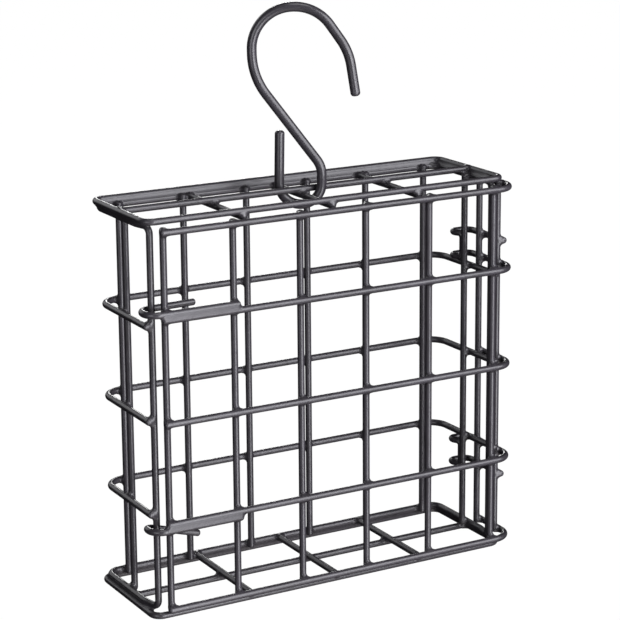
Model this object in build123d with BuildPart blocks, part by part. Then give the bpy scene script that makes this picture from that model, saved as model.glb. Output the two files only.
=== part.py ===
# Hanging suet feeder: a welded, coated wire cage with an L-shaped wire door,
# two wire hinge hooks, two spring latch hooks and a loose S-hook to hang it by.
# Millimetres. +X to the feeder's right, +Y to its back, +Z up.
# The origin is the hanging point: the crown of the S-hook's upper loop, on the
# inside of the wire, where a branch, bracket or chain link bears.
from build123d import *
from math import cos, radians, sin
import os

os.makedirs("parts", exist_ok=True)

# ---------------------------------------------------------------- dimensions
WIRE = 2.2            # coated cage wire, diameter
PITCH = 2.0           # distance between the centres of two wires welded across each other
HOOK_WIRE = 3.2       # S-hook wire, diameter
END_ROUND = 0.75      # rounding of a coated wire end

RING_W = 130.8        # top and bottom ring, centre to centre across
RING_D = 39.4         # the same, front to back
RING_R = 3.2          # ring corner radius
CAGE_H = 128.0        # top ring to bottom ring, centre to centre

INSET = 0.9           # perimeter frame and row wires stand this far inside the rings
FRAME_DROP = 2.0      # perimeter frame below the top ring
FRAME_R = 4.0         # its back corner radius
FRAME_BEND_R = 2.4    # its bend at the four front corners
UPRIGHT_X, UPRIGHT_Y = 63.0, -17.0         # the two front uprights, which are part of it
ROW_Z = (30.7, 0.0, -30.6)                 # the three wires round the sides and back
ROW_R = 6.5                                # their back corner radius
ROW_END_Y = -18.2                          # their front ends, against the uprights
BACK_X = (-57.7, -34.8, -11.6, 11.4, 34.2, 57.5)
CROSS_X = (-32.0, 0.0, 32.0)               # front-to-back wires of the two panels
SIDE_LEFT_Y, SIDE_RIGHT_Y = 2.0, -1.6      # middle upright of each side

DOOR_Y = -22.6                             # plane of the door rails
DOOR_Z = (60.9, 33.2, -0.2, -33.1, -61.6)  # the five rails
DOOR_X = (-60.2, -36.2, -12.3, 12.0, 36.1, 61.3)   # the six uprights
DOOR_LEFT_X = -62.0                        # left ends of the rails
DOOR_SIDE_X = 69.3                         # plane of the rails' side return
DOOR_R = 7.0                               # bend at the rails' corner
RETURN_FRONT_Y, RETURN_REAR_Y = -14.4, -3.5        # two uprights of the return
RETURN_END_Y = -1.9                        # where the rails' return ends
DOOR_TOP, DOOR_BOTTOM = 62.2, -62.4        # ends of the door uprights

HINGE_BACK_Y = -14.2                       # back arm of a hinge hook
HINGE_LEFT_X = -66.4
HINGE_R = 4.15
HINGE_ARM_X, HINGE_TAIL_X = -35.0, -46.6   # ends of its front and back arms

LATCH_GAP = 8.2                            # between the two arms of a latch hook
LATCH_BACK_Y = 5.8                         # how far back its arms reach
LATCH_NOSE_X = 60.8
LATCH_WEB_X, LATCH_WEB_Y = 63.5, 1.0       # upright part that catches behind the side upright
LATCH_START_Y = -16.0                      # front end of its free arm

HOOK_TURN = 28.0                           # the S-hook's plane, turned from the front face
CROWN_S, CROWN_Z = -1.9, 123.4             # centre of the wire at the upper loop's crown
SADDLE_Z = 58.9                            # centre of the wire at the bottom of the lower bend
BEND_R = 6.9                               # radius of the lower bend
# where the cage's centre stands from the hanging point
CAGE_X, CAGE_Y, CAGE_Z = -CROWN_S * cos(radians(HOOK_TURN)), CROWN_S * sin(radians(HOOK_TURN)), HOOK_WIRE / 2 - CROWN_Z

HW, HD, HH = RING_W / 2, RING_D / 2, CAGE_H / 2


# ---------------------------------------------------------------- wire helpers
def at(x, y, z):
    """A point of the cage, given from the cage's centre."""
    return Vector(x + CAGE_X, y + CAGE_Y, z + CAGE_Z)


def straight_wire(start, end, diameter=WIRE, end_round=END_ROUND):
    """A straight wire with rounded ends, added to the part being built."""
    run = end - start
    with BuildSketch(Plane(origin=start, z_dir=run)) as section:
        Circle(diameter / 2)
    extrude(section.sketch, amount=run.length)
    rims = edges().filter_by(GeomType.CIRCLE)
    fillet(rims, end_round)


def bent_wire(points, radii, diameter=WIRE, end_round=END_ROUND, flat_start=False, flat_end=False):
    """A wire bent along a line of points with an arc at each corner."""
    with BuildLine() as route:
        FilletPolyline(*points, radius=radii)
    with BuildSketch(Plane(origin=points[0], z_dir=points[1] - points[0])) as section:
        Circle(diameter / 2)
    sweep(section.sketch, path=route.line)
    caps = faces().filter_by(GeomType.PLANE).sort_by(lambda f: (f.center() - points[0]).length)
    if flat_end:
        caps = caps[:1]
    if flat_start:
        caps = caps[1:]
    fillet([e for f in caps for e in f.edges()], end_round)


def closed_wire(points, radii, diameter=WIRE):
    """A closed wire, bent at each corner and butt-welded in its longest run."""
    with BuildLine() as route:
        FilletPolyline(*points, radius=radii, close=True)
    start = route.line @ 0
    with BuildSketch(Plane(origin=start, z_dir=route.line % 0)) as section:
        Circle(diameter / 2)
    sweep(section.sketch, path=route.line)


def finish(piece, name):
    piece.part.label = name
    export_step(piece.part, f"parts/{name}.step")


# ---------------------------------------------------------------- cage body
zt = HH - FRAME_DROP
fx, fy = HW - INSET, HD - INSET
with BuildPart() as perimeter_frame:
    closed_wire(
        [
            at(-fx, fy, zt), at(-fx, -10.5, zt), at(-UPRIGHT_X, UPRIGHT_Y, zt),
            at(-UPRIGHT_X, UPRIGHT_Y, -zt), at(-fx, -10.5, -zt), at(-fx, fy, -zt),
            at(fx, fy, -zt), at(fx, -10.5, -zt), at(UPRIGHT_X, UPRIGHT_Y, -zt),
            at(UPRIGHT_X, UPRIGHT_Y, zt), at(fx, -10.5, zt), at(fx, fy, zt),
        ],
        [FRAME_R, 10.0, FRAME_BEND_R, FRAME_BEND_R, 10.0, FRAME_R] * 2,
    )
finish(perimeter_frame, "perimeter_frame")

row_x = UPRIGHT_X + PITCH
for row_name, z in zip(("row_wire_upper", "row_wire_middle", "row_wire_lower"), ROW_Z):
    with BuildPart() as row_wire:
        bent_wire([at(-row_x, ROW_END_Y, z), at(-fx, fy, z), at(fx, fy, z), at(row_x, ROW_END_Y, z)], [ROW_R, ROW_R])
    finish(row_wire, row_name)

for i, x in enumerate(BACK_X, 1):
    with BuildPart() as back_upright:
        straight_wire(at(x, fy - PITCH, -HH + 0.9), at(x, fy - PITCH, HH - 0.9))
    finish(back_upright, f"back_upright_{i}")

with BuildPart() as side_upright_left:
    straight_wire(at(PITCH - fx, SIDE_LEFT_Y, -HH + 1.4), at(PITCH - fx, SIDE_LEFT_Y, HH - 1.4))
finish(side_upright_left, "side_upright_left")

with BuildPart() as side_upright_right:
    straight_wire(at(fx - PITCH, SIDE_RIGHT_Y, -HH + 1.4), at(fx - PITCH, SIDE_RIGHT_Y, HH - 1.4))
finish(side_upright_right, "side_upright_right")

# top and bottom panels: a ring, three cross wires inside it and one middle rail
for level, side in (("top", 1), ("bottom", -1)):
    z = side * HH
    with BuildPart() as ring:
        closed_wire([at(-HW, -HD, z), at(HW, -HD, z), at(HW, HD, z), at(-HW, HD, z)], [RING_R] * 4)
    finish(ring, f"{level}_ring")
    for i, x in enumerate(CROSS_X, 1):
        with BuildPart() as cross_wire:
            straight_wire(at(x, -HD - 1.3, z - side * PITCH), at(x, fy - 0.9, z - side * PITCH))
        finish(cross_wire, f"{level}_cross_wire_{i}")
    with BuildPart() as mid_rail:
        straight_wire(at(0.8 - HW, 0, z), at(HW - 0.8, 0, z), end_round=0.3)
    finish(mid_rail, f"{level}_mid_rail")

# ---------------------------------------------------------------- door
for i, z in enumerate(DOOR_Z, 1):
    with BuildPart() as door_rail:
        bent_wire(
            [at(DOOR_LEFT_X, DOOR_Y, z), at(DOOR_SIDE_X, DOOR_Y, z), at(DOOR_SIDE_X, RETURN_END_Y, z)],
            [DOOR_R],
            flat_end=i in (2, 4),
        )
    finish(door_rail, f"door_rail_{i}")

for i, x in enumerate(DOOR_X, 1):
    with BuildPart() as door_upright:
        straight_wire(at(x, DOOR_Y + PITCH, DOOR_BOTTOM), at(x, DOOR_Y + PITCH, DOOR_TOP))
    finish(door_upright, f"door_upright_{i}")

for name, y in (("return_upright_front", RETURN_FRONT_Y), ("return_upright_rear", RETURN_REAR_Y)):
    with BuildPart() as return_upright:
        straight_wire(at(DOOR_SIDE_X - PITCH, y, DOOR_BOTTOM), at(DOOR_SIDE_X - PITCH, y, DOOR_TOP))
    finish(return_upright, name)

# hinge hooks: a hairpin from the door rail, round the cage's front left upright
upper_z = DOOR_Z[1] + PITCH
with BuildPart() as hinge_hook_upper:
    bent_wire(
        [
            at(HINGE_ARM_X, DOOR_Y, upper_z), at(HINGE_LEFT_X, DOOR_Y, upper_z),
            at(HINGE_LEFT_X, HINGE_BACK_Y, upper_z + 0.1), at(HINGE_TAIL_X, HINGE_BACK_Y, upper_z + 0.4),
        ],
        [HINGE_R, HINGE_R],
    )
finish(hinge_hook_upper, "hinge_hook_upper")

lower_z = DOOR_Z[3] - PITCH
with BuildPart() as hinge_hook_lower:
    bent_wire(
        [
            at(HINGE_ARM_X, DOOR_Y, lower_z), at(HINGE_LEFT_X, DOOR_Y, lower_z),
            at(HINGE_LEFT_X, HINGE_BACK_Y, lower_z - 0.2), at(HINGE_TAIL_X, HINGE_BACK_Y, lower_z - 6.0),
        ],
        [HINGE_R, HINGE_R - 0.1],
    )
finish(hinge_hook_lower, "hinge_hook_lower")

# latch hooks: each runs on from a rail's return, curls round behind the cage's
# right side upright, stands up or down behind it, and comes back as a second arm
for name, rail, side in (("latch_hook_upper", 1, 1), ("latch_hook_lower", 3, -1)):
    z1 = DOOR_Z[rail]
    z2 = z1 + side * LATCH_GAP
    with BuildPart() as latch_hook:
        bent_wire(
            [
                at(DOOR_SIDE_X, RETURN_END_Y, z1), at(DOOR_SIDE_X, LATCH_BACK_Y, z1),
                at(LATCH_NOSE_X, LATCH_BACK_Y, z1), at(LATCH_WEB_X, LATCH_WEB_Y, z1),
                at(LATCH_WEB_X, LATCH_WEB_Y, z2), at(LATCH_NOSE_X, LATCH_BACK_Y, z2),
                at(DOOR_SIDE_X, LATCH_BACK_Y, z2), at(DOOR_SIDE_X, LATCH_START_Y, z2),
            ],
            [3.4, 1.8, 1.6, 1.6, 1.8, 3.4],
            flat_start=True,
        )
    finish(latch_hook, name)

# ---------------------------------------------------------------- S-hook
def on_hook(s, z):
    """A point of the S-hook's own upright plane."""
    return at(s * cos(radians(HOOK_TURN)), -s * sin(radians(HOOK_TURN)), z)


with BuildPart() as s_hook:
    bent_wire(
        [
            on_hook(17.8, 94.3), on_hook(15.6, 108.8), on_hook(5.45, CROWN_Z), on_hook(-15.8, CROWN_Z),
            on_hook(-15.45, 101.0),
            on_hook(6.6, 71.4), on_hook(6.6, SADDLE_Z), on_hook(-7.4, SADDLE_Z), on_hook(-6.9, 83.4),
        ],
        [20.0, 13.8, 13.4, 22.4, 8.0, BEND_R, BEND_R],
        diameter=HOOK_WIRE,
        end_round=1.1,
    )
finish(s_hook, "s_hook")
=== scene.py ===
from math import acos, cos, pi, radians, sin, tan

import bpy
import numpy as np
from mathutils import Matrix, Vector


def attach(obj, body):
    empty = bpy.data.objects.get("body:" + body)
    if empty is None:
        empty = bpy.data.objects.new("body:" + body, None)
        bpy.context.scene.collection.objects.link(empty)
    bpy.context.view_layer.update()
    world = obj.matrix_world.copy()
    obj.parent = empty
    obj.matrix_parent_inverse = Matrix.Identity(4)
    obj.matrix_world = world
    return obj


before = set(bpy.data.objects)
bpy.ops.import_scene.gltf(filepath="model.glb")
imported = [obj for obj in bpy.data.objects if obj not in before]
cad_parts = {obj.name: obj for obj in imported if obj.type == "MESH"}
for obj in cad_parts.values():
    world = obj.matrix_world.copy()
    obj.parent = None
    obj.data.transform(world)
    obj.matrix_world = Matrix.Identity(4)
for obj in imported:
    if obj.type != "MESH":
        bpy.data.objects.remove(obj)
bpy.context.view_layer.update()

# ------------------------------------------------------------------ sizes, mm, as in the CAD model
WIRE, PITCH, HOOK_WIRE = 2.2, 2.0, 3.2
RING_W, RING_D, RING_R, CAGE_H = 130.8, 39.4, 3.2, 128.0
INSET, FRAME_DROP, FRAME_R, FRAME_BEND_R = 0.9, 2.0, 4.0, 2.4
UPRIGHT_X, UPRIGHT_Y = 63.0, -17.0
ROW_Z, ROW_R, ROW_END_Y = (30.7, 0.0, -30.6), 6.5, -18.2
BACK_X = (-57.7, -34.8, -11.6, 11.4, 34.2, 57.5)
CROSS_X = (-32.0, 0.0, 32.0)
SIDE_LEFT_Y, SIDE_RIGHT_Y = 2.0, -1.6
DOOR_Y = -22.6
DOOR_Z = (60.9, 33.2, -0.2, -33.1, -61.6)
DOOR_X = (-60.2, -36.2, -12.3, 12.0, 36.1, 61.3)
DOOR_LEFT_X, DOOR_SIDE_X, DOOR_R = -62.0, 69.3, 7.0
RETURN_FRONT_Y, RETURN_REAR_Y, RETURN_END_Y = -14.4, -3.5, -1.9
DOOR_TOP, DOOR_BOTTOM = 62.2, -62.4
HINGE_BACK_Y, HINGE_LEFT_X, HINGE_R = -14.2, -66.4, 4.15
HINGE_ARM_X, HINGE_TAIL_X = -35.0, -46.6
LATCH_GAP, LATCH_BACK_Y, LATCH_NOSE_X = 8.2, 5.8, 60.8
LATCH_WEB_X, LATCH_WEB_Y, LATCH_START_Y = 63.5, 1.0, -16.0
HOOK_TURN = 28.0
CROWN_S, CROWN_Z = -1.9, 123.4
CAGE_X = -CROWN_S * cos(radians(HOOK_TURN))
CAGE_Y = CROWN_S * sin(radians(HOOK_TURN))
CAGE_Z = HOOK_WIRE / 2 - CROWN_Z
HW, HD, HH = RING_W / 2, RING_D / 2, CAGE_H / 2
FX, FY = HW - INSET, HD - INSET


def at(x, y, z):
    return np.array([x + CAGE_X, y + CAGE_Y, z + CAGE_Z])


def bent(points, radii=(), closed=False, step=0.28):
    """A wire's centre line: straight runs joined by arcs, as short chords."""
    p = [np.array(q, float) for q in points]
    n = len(p)
    out = [] if closed else [p[0]]
    for k, i in enumerate(range(n) if closed else range(1, n - 1)):
        r = radii[k]
        a, b = p[(i - 1) % n] - p[i], p[(i + 1) % n] - p[i]
        a, b = a / np.linalg.norm(a), b / np.linalg.norm(b)
        ang = acos(float(np.clip(a @ b, -1, 1)))
        c = p[i] + (a + b) / np.linalg.norm(a + b) * r / sin(ang / 2)
        s, e = p[i] + a * r / tan(ang / 2), p[i] + b * r / tan(ang / 2)
        u = (s - c) / r
        v = (e - c) - ((e - c) @ u) * u
        v /= np.linalg.norm(v)
        turn = pi - ang
        for t in np.linspace(0, turn, max(4, int(turn / step) + 1)):
            out.append(c + r * (cos(t) * u + sin(t) * v))
    out.append(out[0] if closed else p[-1])
    return np.array(out)


ZT = HH - FRAME_DROP
cage = {
    "perimeter_frame": bent(
        [at(-FX, FY, ZT), at(-FX, -10.5, ZT), at(-UPRIGHT_X, UPRIGHT_Y, ZT), at(-UPRIGHT_X, UPRIGHT_Y, -ZT),
         at(-FX, -10.5, -ZT), at(-FX, FY, -ZT), at(FX, FY, -ZT), at(FX, -10.5, -ZT),
         at(UPRIGHT_X, UPRIGHT_Y, -ZT), at(UPRIGHT_X, UPRIGHT_Y, ZT), at(FX, -10.5, ZT), at(FX, FY, ZT)],
        [FRAME_R, 10.0, FRAME_BEND_R, FRAME_BEND_R, 10.0, FRAME_R] * 2, True),
    "side_upright_left": bent([at(PITCH - FX, SIDE_LEFT_Y, -HH + 1.4), at(PITCH - FX, SIDE_LEFT_Y, HH - 1.4)]),
    "side_upright_right": bent([at(FX - PITCH, SIDE_RIGHT_Y, -HH + 1.4), at(FX - PITCH, SIDE_RIGHT_Y, HH - 1.4)]),
}
for k, z in enumerate(ROW_Z, 1):
    cage[f"row_{k}"] = bent([at(-UPRIGHT_X - PITCH, ROW_END_Y, z), at(-FX, FY, z), at(FX, FY, z),
                             at(UPRIGHT_X + PITCH, ROW_END_Y, z)], [ROW_R, ROW_R])
for k, x in enumerate(BACK_X, 1):
    cage[f"back_{k}"] = bent([at(x, FY - PITCH, -HH + 0.9), at(x, FY - PITCH, HH - 0.9)])
for s in (1, -1):
    cage[f"ring_{s}"] = bent([at(-HW, -HD, s * HH), at(HW, -HD, s * HH), at(HW, HD, s * HH), at(-HW, HD, s * HH)],
                             [RING_R] * 4, True)
    cage[f"mid_{s}"] = bent([at(0.8 - HW, 0, s * HH), at(HW - 0.8, 0, s * HH)])
    for k, x in enumerate(CROSS_X, 1):
        cage[f"cross_{s}_{k}"] = bent([at(x, -HD - 1.3, s * (HH - PITCH)), at(x, FY - 0.9, s * (HH - PITCH))])
door = {}
for k, z in enumerate(DOOR_Z, 1):
    door[f"rail_{k}"] = bent([at(DOOR_LEFT_X, DOOR_Y, z), at(DOOR_SIDE_X, DOOR_Y, z),
                              at(DOOR_SIDE_X, RETURN_END_Y, z)], [DOOR_R])
for k, x in enumerate(DOOR_X, 1):
    door[f"upright_{k}"] = bent([at(x, DOOR_Y + PITCH, DOOR_BOTTOM), at(x, DOOR_Y + PITCH, DOOR_TOP)])
for k, y in enumerate((RETURN_FRONT_Y, RETURN_REAR_Y), 1):
    door[f"return_{k}"] = bent([at(DOOR_SIDE_X - PITCH, y, DOOR_BOTTOM), at(DOOR_SIDE_X - PITCH, y, DOOR_TOP)])
UZ, LZ = DOOR_Z[1] + PITCH, DOOR_Z[3] - PITCH
door["hinge_upper"] = bent([at(HINGE_ARM_X, DOOR_Y, UZ), at(HINGE_LEFT_X, DOOR_Y, UZ),
                            at(HINGE_LEFT_X, HINGE_BACK_Y, UZ + 0.1), at(HINGE_TAIL_X, HINGE_BACK_Y, UZ + 0.4)],
                           [HINGE_R, HINGE_R])
door["hinge_lower"] = bent([at(HINGE_ARM_X, DOOR_Y, LZ), at(HINGE_LEFT_X, DOOR_Y, LZ),
                            at(HINGE_LEFT_X, HINGE_BACK_Y, LZ - 0.2), at(HINGE_TAIL_X, HINGE_BACK_Y, LZ - 6)],
                           [HINGE_R, HINGE_R - 0.1])
for k, (z1, s) in enumerate(((DOOR_Z[1], 1), (DOOR_Z[3], -1)), 1):
    z2 = z1 + s * LATCH_GAP
    door[f"latch_{k}"] = bent(
        [at(DOOR_SIDE_X, RETURN_END_Y, z1), at(DOOR_SIDE_X, LATCH_BACK_Y, z1), at(LATCH_NOSE_X, LATCH_BACK_Y, z1),
         at(LATCH_WEB_X, LATCH_WEB_Y, z1), at(LATCH_WEB_X, LATCH_WEB_Y, z2), at(LATCH_NOSE_X, LATCH_BACK_Y, z2),
         at(DOOR_SIDE_X, LATCH_BACK_Y, z2), at(DOOR_SIDE_X, LATCH_START_Y, z2)],
        [3.4, 1.8, 1.6, 1.6, 1.8, 3.4])

# ------------------------------------------------------------------ coating drawn into the welds
END = 1.0         # mm, a cut end's round cap starts this far back
for wires in (cage, door):
    for name, line in wires.items():
        if np.linalg.norm(line[0] - line[-1]) > 1e-6:
            for e, n in ((0, 1), (-1, -2)):
                d = line[n] - line[e]
                line[e] = line[e] + d / np.linalg.norm(d) * END
SPREAD = 1.85     # mm, how far the coating spreads from the joint of two crossing wires
SPREAD_SIDE = 1.6 # mm, the same in the groove of two wires side by side
ROOT = 0.42       # mm, how deep a fillet's hidden side lies in the wires
FEATHER = 0.03    # mm, where a fillet counts as ended
CELL = 0.34       # mm
LIFT = 0.015      # mm, a fillet's skin over the wires'


def near_segment(p, a, b):
    """Distance and nearest point from points p to the segment a-b."""
    d = b - a
    t = np.clip(((p - a) @ d) / (d @ d), 0, 1)
    q = a + t[:, None] * d
    return np.linalg.norm(p - q, axis=1), q


def two_nearest(points, wires, reach):
    """Distances to the two nearest wires' surfaces, the outward directions there and the wires' own directions."""
    n = len(points)
    d1, d2 = np.full(n, 9.0), np.full(n, 9.0)
    g1, g2, t1, t2 = (np.zeros((n, 3)) for _ in range(4))
    for line in wires.values():
        best, near, along = np.full(n, 9.0), np.zeros((n, 3)), np.zeros((n, 3))
        for a, b in zip(line[:-1], line[1:]):
            lo, hi = np.minimum(a, b) - reach, np.maximum(a, b) + reach
            m = np.nonzero(((points >= lo) & (points <= hi)).all(axis=1))[0]
            if not len(m):
                continue
            d, q = near_segment(points[m], a, b)
            c = d < best[m]
            best[m[c]], near[m[c]] = d[c], q[c]
            along[m[c]] = (b - a) / np.linalg.norm(b - a)
        m = np.nonzero(best < 9.0)[0]
        g = points[m] - near[m]
        g /= np.maximum(np.linalg.norm(g, axis=1), 1e-9)[:, None]
        d = best[m] - WIRE / 2
        t = along[m]
        first = d < d1[m]
        i, j = m[first], m[~first]
        d2[i], g2[i], t2[i] = d1[i], g1[i], t1[i]
        d1[i], g1[i], t1[i] = d[first], g[first], t[first]
        c = d[~first] < d2[j]
        d2[j[c]], g2[j[c]], t2[j[c]] = d[~first][c], g[~first][c], t[~first][c]
    return d1, d2, g1, g2, (t1 * t2).sum(axis=1)


def softened(d1, d2, cosine):
    spread = SPREAD_SIDE + (SPREAD - SPREAD_SIDE) * (1 - cosine ** 2)
    h = np.clip(spread - (d2 - d1), 0, None) / spread
    return d1 - h * h * spread / 4, h


def fillets(name, wires):
    """One closed mesh of every fillet of coating on these wires."""
    reach = WIRE / 2 + SPREAD + 0.4
    every = np.concatenate(list(wires.values()))
    lo = every.min(axis=0) - reach - 2 * CELL
    size = np.ceil((every.max(axis=0) + reach + 2 * CELL - lo) / CELL).astype(int) + 1
    axes = [lo[k] + CELL * np.arange(size[k]) for k in range(3)]
    d1 = np.full(size, 9.0, np.float32)
    d2 = np.full(size, 9.0, np.float32)
    s1 = np.zeros(size, np.int16)
    s2 = np.zeros(size, np.int16)
    way = [np.zeros(3)]
    for line in wires.values():
        mine = []
        curved = len(line) > 2
        if curved:
            whole, which, boxes = np.full(size, 9.0, np.float32), np.zeros(size, np.int16), []
        for a, b in zip(line[:-1], line[1:]):
            i = np.maximum(np.floor((np.minimum(a, b) - reach - lo) / CELL).astype(int), 0)
            j = np.minimum(np.ceil((np.maximum(a, b) + reach - lo) / CELL).astype(int) + 1, size)
            g = np.stack(np.meshgrid(*(axes[k][i[k]:j[k]] for k in range(3)), indexing="ij"), axis=-1)
            d, _ = near_segment(g.reshape(-1, 3), a, b)
            d = (d - WIRE / 2).reshape(g.shape[:3]).astype(np.float32)
            s = tuple(slice(i[k], j[k]) for k in range(3))
            if curved:
                c = d < whole[s]
                whole[s] = np.where(c, d, whole[s])
                which[s] = np.where(c, len(way), which[s])
                boxes.append((i, j))
            else:
                mine.append((s, d, np.full(d.shape, len(way), np.int16)))
            way.append((b - a) / np.linalg.norm(b - a))
        if curved:
            i = np.min([b[0] for b in boxes], axis=0)
            j = np.max([b[1] for b in boxes], axis=0)
            s = tuple(slice(i[k], j[k]) for k in range(3))
            mine.append((s, whole[s], which[s]))
        for s, d, w in mine:
            a, b, wa, wb = d1[s], d2[s], s1[s], s2[s]
            first, second = d < a, d < b
            d2[s], s2[s] = np.where(first, a, np.where(second, d, b)), np.where(first, wa, np.where(second, w, wb))
            d1[s], s1[s] = np.where(first, d, a), np.where(first, w, wa)
    way = np.array(way)
    f = np.full(size, 1.0, np.float32)
    m = np.nonzero((d2 - d1 < SPREAD) & (d1 < SPREAD / 4 + 2 * CELL) & (d1 > -WIRE))
    a, b = d1[m].astype(float), d2[m].astype(float)
    sm, h = softened(a, b, (way[s1[m]] * way[s2[m]]).sum(axis=1))
    f[m] = np.maximum(np.maximum(sm, -(a + ROOT)), FEATHER - (a - sm))
    del d1, d2, s1, s2
    # surface nets
    inside = f < 0
    cells = np.zeros(np.array(size) - 1, np.uint8)
    corners = [(x, y, z) for x in (0, 1) for y in (0, 1) for z in (0, 1)]

    def part(a, c):
        return a[tuple(slice(c[k], size[k] - 1 + c[k]) for k in range(3))]

    for c in corners:
        cells += part(inside, c)
    mixed = np.argwhere((cells > 0) & (cells < 8))
    number = np.full(cells.shape, -1, np.int64)
    number[tuple(mixed.T)] = np.arange(len(mixed))
    total, count = np.zeros((len(mixed), 3)), np.zeros(len(mixed))
    for c in corners:
        for k in range(3):
            if c[k]:
                continue
            e = tuple(c[m] + (m == k) for m in range(3))
            fa = f[tuple((mixed + c).T)].astype(float)
            fb = f[tuple((mixed + e).T)].astype(float)
            cut = (fa < 0) != (fb < 0)
            t = np.where(cut, fa / np.where(cut, fa - fb, 1), 0)
            p = np.tile(np.array(c, float), (len(mixed), 1))
            p[:, k] += t
            total += np.where(cut[:, None], p, 0)
            count += cut
    verts = lo + (mixed + total / count[:, None]) * CELL
    quads = []
    for k in range(3):
        u, v = (k + 1) % 3, (k + 2) % 3
        a = inside[tuple(slice(None, -1) if m == k else slice(None) for m in range(3))]
        b = inside[tuple(slice(1, None) if m == k else slice(None) for m in range(3))]
        e = np.argwhere(a != b)
        down = a[tuple(e.T)]
        around = []
        for du, dv in ((-1, -1), (0, -1), (0, 0), (-1, 0)):
            c = e.copy()
            c[:, u] += du
            c[:, v] += dv
            around.append(number[tuple(c.T)])
        q = np.stack(around, axis=1)
        q[~down] = q[~down][:, ::-1]
        quads.append(q)
    quads = np.concatenate(quads)
    # the outer skin is drawn onto the softened surface exactly
    for _ in range(4):
        a1, a2, g1, g2, cosine = two_nearest(verts, wires, reach + 0.4)
        soft, h = softened(a1, a2, cosine)
        outer = (a1 > -0.12) & (h > 0)
        g = (1 - h / 2)[:, None] * g1 + (h / 2)[:, None] * g2
        w = np.maximum((g * g).sum(axis=1), 0.15)
        step = np.where(outer, (soft - LIFT) / w, 0)
        verts = verts - np.clip(step, -0.2, 0.2)[:, None] * g
    mesh = bpy.data.meshes.new(name)
    mesh.from_pydata((verts / 1000).tolist(), [], quads.tolist())
    mesh.shade_smooth()
    g /= np.maximum(np.linalg.norm(g, axis=1), 1e-9)[:, None]
    mesh.normals_split_custom_set_from_vertices(g.tolist())
    obj = bpy.data.objects.new(name, mesh)
    bpy.context.scene.collection.objects.link(obj)
    return obj


# ------------------------------------------------------------------ the black plastic coating
def coating(name, tone, rough, seed):
    m = bpy.data.materials.new(name)
    m.use_nodes = True
    t = m.node_tree
    n, l = t.nodes, t.links
    n.clear()
    out = n.new("ShaderNodeOutputMaterial")
    b = n.new("ShaderNodeBsdfPrincipled")
    l.new(b.outputs["BSDF"], out.inputs["Surface"])
    b.inputs["IOR"].default_value = 1.5
    b.inputs["Specular IOR Level"].default_value = 0.5
    b.inputs["Coat Weight"].default_value = 0.25
    b.inputs["Coat Roughness"].default_value = 0.16
    co = n.new("ShaderNodeTexCoord")
    move = n.new("ShaderNodeMapping")
    move.inputs["Location"].default_value = (seed * 1.37, seed * 0.71, seed * 2.13)
    l.new(co.outputs["Object"], move.inputs["Vector"])

    def noise(scale, detail, rough_=0.5):
        k = n.new("ShaderNodeTexNoise")
        k.inputs["Scale"].default_value = scale
        k.inputs["Detail"].default_value = detail
        k.inputs["Roughness"].default_value = rough_
        l.new(move.outputs["Vector"], k.inputs["Vector"])
        return k

    flow, peel, grit = noise(95, 3), noise(620, 3, 0.55), noise(2600, 2, 0.6)
    ramp = n.new("ShaderNodeValToRGB")
    ramp.color_ramp.elements[0].position = 0.3
    ramp.color_ramp.elements[0].color = (tone[0] * 0.82, tone[1] * 0.82, tone[2] * 0.82, 1)
    ramp.color_ramp.elements[1].position = 0.72
    ramp.color_ramp.elements[1].color = (tone[0] * 1.2, tone[1] * 1.2, tone[2] * 1.24, 1)
    l.new(flow.outputs["Fac"], ramp.inputs["Fac"])
    l.new(ramp.outputs["Color"], b.inputs["Base Color"])
    r = n.new("ShaderNodeMapRange")
    r.inputs["From Min"].default_value = 0.3
    r.inputs["From Max"].default_value = 0.7
    r.inputs["To Min"].default_value = rough - 0.055
    r.inputs["To Max"].default_value = rough + 0.06
    l.new(peel.outputs["Fac"], r.inputs["Value"])
    l.new(r.outputs["Result"], b.inputs["Roughness"])
    low = n.new("ShaderNodeBump")
    low.inputs["Strength"].default_value = 0.13
    low.inputs["Distance"].default_value = 0.00035
    l.new(peel.outputs["Fac"], low.inputs["Height"])
    fine = n.new("ShaderNodeBump")
    fine.inputs["Strength"].default_value = 0.06
    fine.inputs["Distance"].default_value = 0.0001
    l.new(grit.outputs["Fac"], fine.inputs["Height"])
    l.new(low.outputs["Normal"], fine.inputs["Normal"])
    l.new(fine.outputs["Normal"], b.inputs["Normal"])
    return m


TONE = (0.0335, 0.0305, 0.0350)
looks = {
    "cage": coating("black_coating_cage", TONE, 0.36, 1),
    "door": coating("black_coating_door", (TONE[0] * 1.04, TONE[1] * 1.04, TONE[2] * 1.05), 0.35, 2),
    "hanger": coating("black_coating_hook", (TONE[0] * 0.95, TONE[1] * 0.95, TONE[2] * 0.97), 0.32, 3),
}
for node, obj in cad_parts.items():
    body = ("hanger" if node == "s_hook" else
            "door" if node.startswith(("door_", "return_", "hinge_", "latch_")) else "cage")
    if not obj.material_slots:
        obj.data.materials.append(looks[body])
    for slot in obj.material_slots:
        slot.material = looks[body]

for name, wires, body, slot in (("cage_weld_fillets", cage, "cage", "cage_wire"),
                                ("door_weld_fillets", door, "door", "door_wire")):
    obj = fillets(name, wires)
    obj.data.materials.append(looks[body])
    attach(obj, body)

# ------------------------------------------------------------------ floor, light, camera
scene = bpy.context.scene
scene.view_settings.view_transform = "Standard"
scene.view_settings.look = "None"

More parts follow.
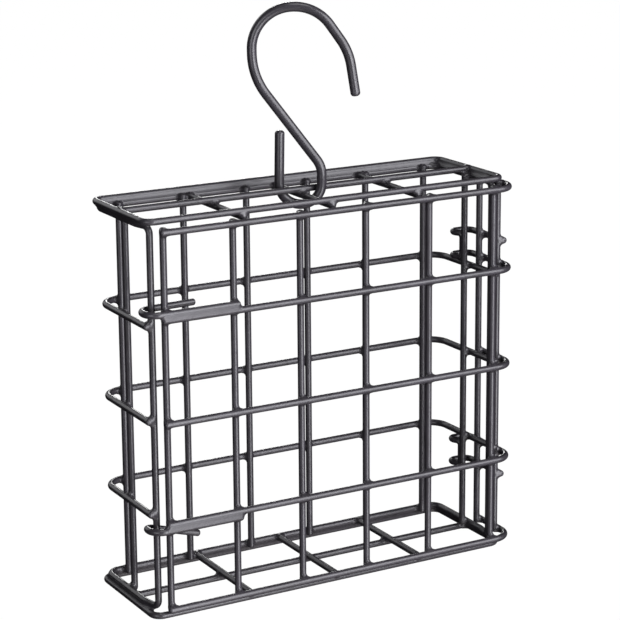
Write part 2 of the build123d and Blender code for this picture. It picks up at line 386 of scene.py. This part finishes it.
FLOOR_Z = -0.36
mesh = bpy.data.meshes.new("floor")
R = 9.0
mesh.from_pydata([(-R, -R, FLOOR_Z), (R, -R, FLOOR_Z), (R, R, FLOOR_Z), (-R, R, FLOOR_Z)], [], [(0, 1, 2, 3)])
floor = bpy.data.objects.new("floor", mesh)
scene.collection.objects.link(floor)
fm = bpy.data.materials.new("pale_floor")
fm.use_nodes = True
fb = fm.node_tree.nodes["Principled BSDF"]
fb.inputs["Base Color"].default_value = (0.02, 0.02, 0.02, 1)
fb.inputs["Roughness"].default_value = 0.9
fb.inputs["Specular IOR Level"].default_value = 0.0
fb.inputs["Emission Color"].default_value = (1, 1, 1, 1)
fb.inputs["Emission Strength"].default_value = 1.0
mesh.materials.append(fm)
floor.visible_glossy = False
floor.visible_diffuse = False
floor.visible_shadow = False

world = bpy.data.worlds.new("studio")
scene.world = world
world.use_nodes = True
world.node_tree.nodes["Background"].inputs["Color"].default_value = (1, 1, 1, 1)
world.node_tree.nodes["Background"].inputs["Strength"].default_value = 1.0
world.cycles_visibility.diffuse = False
world.cycles_visibility.glossy = False


def softbox(name, where, target, size, power, color=(1, 1, 1)):
    d = bpy.data.lights.new(name, "AREA")
    d.shape = "RECTANGLE"
    d.size, d.size_y = size
    d.energy = power
    d.color = color
    o = bpy.data.objects.new(name, d)
    scene.collection.objects.link(o)
    o.location = where
    o.rotation_euler = (Vector(target) - Vector(where)).to_track_quat("-Z", "Y").to_euler()
    return o


centre = (0, 0, -0.12)
softbox("key_softbox", (0.70, -1.20, 0.44), centre, (1.4, 1.2), 30, (0.95, 0.95, 1.0))
softbox("front_strip", (0.24, -1.44, -0.42), centre, (0.8, 1.1), 19, (0.95, 0.95, 1.0))
softbox("top_softbox", (0.0, -0.5, 1.35), centre, (0.7, 0.7), 5, (1.0, 1.0, 1.0))
softbox("rim_light", (0.72, 1.55, 0.30), centre, (0.22, 0.22), 2.4, (1.0, 1.0, 1.0))
softbox("left_fill", (-1.5, -1.0, 0.1), centre, (1.0, 1.0), 10, (0.95, 0.96, 1.0))
softbox("back_fill", (-0.5, 1.7, 0.7), centre, (1.6, 1.2), 7, (0.97, 0.97, 1.0))
softbox("low_fill", (0.0, -0.9, -1.4), centre, (1.6, 1.6), 7, (1.0, 0.94, 0.92))

cam_data = bpy.data.cameras.new("camera")
camera = bpy.data.objects.new("camera", cam_data)
scene.collection.objects.link(camera)
scene.camera = camera
CAM_AT = (-0.339285, -0.609677, 0.086667)
CAM_RIGHT = (0.871875, -0.489643, -0.009086)
CAM_DOWN = (-0.118619, -0.193144, -0.973974)
CAM_AHEAD = (0.475145, 0.850261, -0.226479)
cols = [Vector(CAM_RIGHT), -Vector(CAM_DOWN), -Vector(CAM_AHEAD)]
rot = Matrix([[cols[c][r] for c in range(3)] for r in range(3)])
camera.matrix_world = Matrix.Translation(Vector(CAM_AT)) @ rot.to_4x4()
cam_data.sensor_width = 36.0
cam_data.lens = 2188.51 * 36.0 / 620.0
cam_data.shift_x = (310.0 - 300.0) / 620.0
cam_data.shift_y = (242.0 - 310.0) / 620.0
cam_data.clip_start, cam_data.clip_end = 0.01, 50.0
